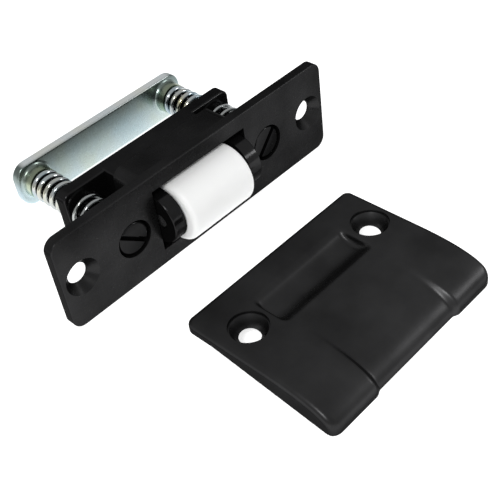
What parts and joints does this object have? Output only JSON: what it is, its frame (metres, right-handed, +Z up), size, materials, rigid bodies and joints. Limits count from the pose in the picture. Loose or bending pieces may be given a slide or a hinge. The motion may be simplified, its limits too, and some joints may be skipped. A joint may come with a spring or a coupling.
{
  "type": "adjustable roller catch with strike plate",
  "caption": "Black mortice roller catch: white roller in a sprung carrier, set by slotted screws and a zinc back plate, shown with its dished strike plate.",
  "frame": {"origin": "centre of the face plate's back face, its seat, midway between its two fixing screws", "axes": "+X along the face plate, +Y into the door behind the face plate, +Z up across the face plate's height"},
  "size_m": [0.086, 0.1044, 0.0254],
  "materials": {
    "black_casting": "satin",
    "black_strike": "satin",
    "screw_black": "satin",
    "axle_steel": "blackened",
    "white_nylon": "smooth",
    "zinc_plate": "bright zinc with faint yellow",
    "spring_steel": "bright zinc"
  },
  "bodies": {
    "faceplate": {"faceplate": "black_casting", "strike_plate": "black_strike", "front_spring_left": "spring_steel", "front_spring_right": "spring_steel"},
    "carrier": {"roller_carrier": "black_casting", "roller_axle": "axle_steel"},
    "roller": {"roller": "white_nylon"},
    "screw_left": {"adjusting_screw_left": "screw_black"},
    "screw_right": {"adjusting_screw_right": "screw_black"},
    "back_plate": {"back_plate": "zinc_plate", "rear_spring_left": "spring_steel", "rear_spring_right": "spring_steel"}
  },
  "joints": [
    {"name": "carrier_slide", "type": "slide", "parent": "faceplate", "child": "carrier", "axis": [0, 1, 0], "range_m": [0, 0.004], "stiffness_N_per_m": 4000, "deforming": ["front_spring_left", "front_spring_right", "rear_spring_left", "rear_spring_right"]},
    {"name": "roller_spin", "type": "hinge", "parent": "carrier", "child": "roller", "pos_m": [0, -0.0029, 0], "axis": [1, 0, 0], "continuous": true},
    {"name": "screw_left_turn", "type": "hinge", "parent": "faceplate", "child": "screw_left", "pos_m": [-0.0221, 0.0174, 0], "axis": [0, 1, 0], "range_deg": [-0.5, 675.5]},
    {"name": "screw_right_turn", "type": "hinge", "parent": "faceplate", "child": "screw_right", "pos_m": [0.0221, 0.0174, 0], "axis": [0, 1, 0], "range_deg": [-0.5, 675.5]},
    {"name": "back_plate_slide", "type": "slide", "parent": "faceplate", "child": "back_plate", "axis": [0, 1, 0], "range_m": [-0.0015, 0], "deforming": ["rear_spring_left", "rear_spring_right"]}
  ],
  "couplings": [
    {"joint": "screw_left_turn", "follows": "back_plate_slide", "rad_per_m": -7854},
    {"joint": "screw_right_turn", "follows": "back_plate_slide", "rad_per_m": -7854}
  ]
}
